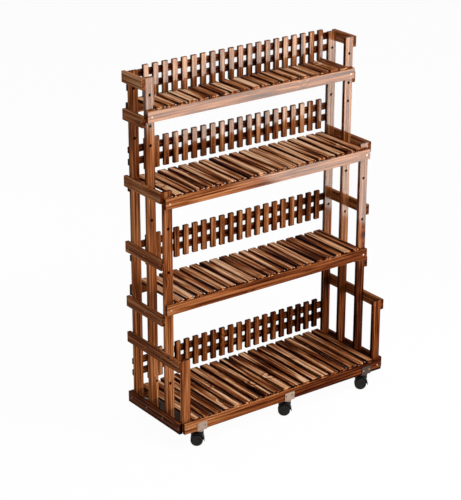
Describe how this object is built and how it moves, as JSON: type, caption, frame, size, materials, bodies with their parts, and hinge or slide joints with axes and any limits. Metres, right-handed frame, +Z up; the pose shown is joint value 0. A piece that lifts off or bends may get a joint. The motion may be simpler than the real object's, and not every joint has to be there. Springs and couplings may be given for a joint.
{
  "type": "tiered plant stand",
  "caption": "Stepped timber plant stand with slatted shelves, picket panels at the back and swivel casters, for potted plants at several heights.",
  "frame": {"origin": "on the floor, under the middle of the stand", "axes": "+X to the right seen from the front, +Y to the back, +Z up"},
  "size_m": [1.05, 0.4004, 1.492],
  "materials": {
    "post_timber": "carbonised fir, satin",
    "rail_timber": "carbonised fir, satin",
    "slat_timber": "carbonised fir, satin",
    "picket_timber": "carbonised fir, satin",
    "screw_steel": "yellow zinc, satin",
    "nail_steel": "satin",
    "plate_steel": "zinc plated, satin",
    "pin_steel": "satin",
    "hood_plastic": "moulded nylon",
    "wheel_plastic": "moulded nylon"
  },
  "bodies": {
    "frame": {"bottom_front_rail": "rail_timber", "bottom_panel_rails": "picket_timber", "bottom_pickets": "picket_timber", "bottom_rear_rail": "rail_timber", "bottom_slats": "slat_timber", "caster_plates": "plate_steel", "left_back_post": "post_timber", "left_base_rail": "rail_timber", "left_brace_rail": "rail_timber", "left_front_post": "post_timber", "left_handrail": "rail_timber", "left_low_handrail": "rail_timber", "left_middle_post": "post_timber", "left_second_side_rail": "rail_timber", "left_third_side_rail": "rail_timber", "left_top_side_rail": "rail_timber", "left_upper_post": "post_timber", "nails": "nail_steel", "plate_screws": "screw_steel", "rail_screws": "screw_steel", "right_back_post": "post_timber", "right_base_rail": "rail_timber", "right_brace_rail": "rail_timber", "right_front_post": "post_timber", "right_handrail": "rail_timber", "right_low_handrail": "rail_timber", "right_middle_post": "post_timber", "right_second_side_rail": "rail_timber", "right_third_side_rail": "rail_timber", "right_top_side_rail": "rail_timber", "right_upper_post": "post_timber", "second_front_rail": "rail_timber", "second_panel_rails": "picket_timber", "second_pickets": "picket_timber", "second_rear_rail": "rail_timber", "second_slats": "slat_timber", "side_rail_screws": "screw_steel", "swivel_pins": "pin_steel", "third_front_rail": "rail_timber", "third_panel_rails": "picket_timber", "third_pickets": "picket_timber", "third_rear_rail": "rail_timber", "third_slats": "slat_timber", "top_front_rail": "rail_timber", "top_panel_rails": "picket_timber", "top_pickets": "picket_timber", "top_rear_rail": "rail_timber", "top_slats": "slat_timber"},
    "front_left_fork": {"front_left_hood": "hood_plastic"},
    "front_left_rollers": {"front_left_wheels": "wheel_plastic"},
    "front_middle_fork": {"front_middle_hood": "hood_plastic"},
    "front_middle_rollers": {"front_middle_wheels": "wheel_plastic"},
    "front_right_fork": {"front_right_hood": "hood_plastic"},
    "front_right_rollers": {"front_right_wheels": "wheel_plastic"},
    "rear_left_fork": {"rear_left_hood": "hood_plastic"},
    "rear_left_rollers": {"rear_left_wheels": "wheel_plastic"},
    "rear_middle_fork": {"rear_middle_hood": "hood_plastic"},
    "rear_middle_rollers": {"rear_middle_wheels": "wheel_plastic"},
    "rear_right_fork": {"rear_right_hood": "hood_plastic"},
    "rear_right_rollers": {"rear_right_wheels": "wheel_plastic"}
  },
  "joints": [
    {"name": "front_left_swivel", "type": "hinge", "parent": "frame", "child": "front_left_fork", "pos_m": [-0.4255, -0.18, 0.05], "axis": [0, 0, 1], "continuous": true},
    {"name": "front_left_roll", "type": "hinge", "parent": "front_left_fork", "child": "front_left_rollers", "pos_m": [-0.43844, -0.17059, 0.025], "axis": [0.5878, 0.809, 0], "continuous": true},
    {"name": "front_middle_swivel", "type": "hinge", "parent": "frame", "child": "front_middle_fork", "pos_m": [0.015, -0.18, 0.05], "axis": [0, 0, 1], "continuous": true},
    {"name": "front_middle_roll", "type": "hinge", "parent": "front_middle_fork", "child": "front_middle_rollers", "pos_m": [0.00206, -0.17059, 0.025], "axis": [0.5878, 0.809, 0], "continuous": true},
    {"name": "front_right_swivel", "type": "hinge", "parent": "frame", "child": "front_right_fork", "pos_m": [0.4255, -0.18, 0.05], "axis": [0, 0, 1], "continuous": true},
    {"name": "front_right_roll", "type": "hinge", "parent": "front_right_fork", "child": "front_right_rollers", "pos_m": [0.41256, -0.17059, 0.025], "axis": [0.5878, 0.809, 0], "continuous": true},
    {"name": "rear_left_swivel", "type": "hinge", "parent": "frame", "child": "rear_left_fork", "pos_m": [-0.4255, 0.18, 0.05], "axis": [0, 0, 1], "continuous": true},
    {"name": "rear_left_roll", "type": "hinge", "parent": "rear_left_fork", "child": "rear_left_rollers", "pos_m": [-0.41256, 0.17059, 0.025], "axis": [0.5878, 0.809, 0], "continuous": true},
    {"name": "rear_middle_swivel", "type": "hinge", "parent": "frame", "child": "rear_middle_fork", "pos_m": [0.015, 0.18, 0.05], "axis": [0, 0, 1], "continuous": true},
    {"name": "rear_middle_roll", "type": "hinge", "parent": "rear_middle_fork", "child": "rear_middle_rollers", "pos_m": [0.02794, 0.17059, 0.025], "axis": [0.5878, 0.809, 0], "continuous": true},
    {"name": "rear_right_swivel", "type": "hinge", "parent": "frame", "child": "rear_right_fork", "pos_m": [0.4255, 0.18, 0.05], "axis": [0, 0, 1], "continuous": true},
    {"name": "rear_right_roll", "type": "hinge", "parent": "rear_right_fork", "child": "rear_right_rollers", "pos_m": [0.43844, 0.17059, 0.025], "axis": [0.5878, 0.809, 0], "continuous": true}
  ]
}
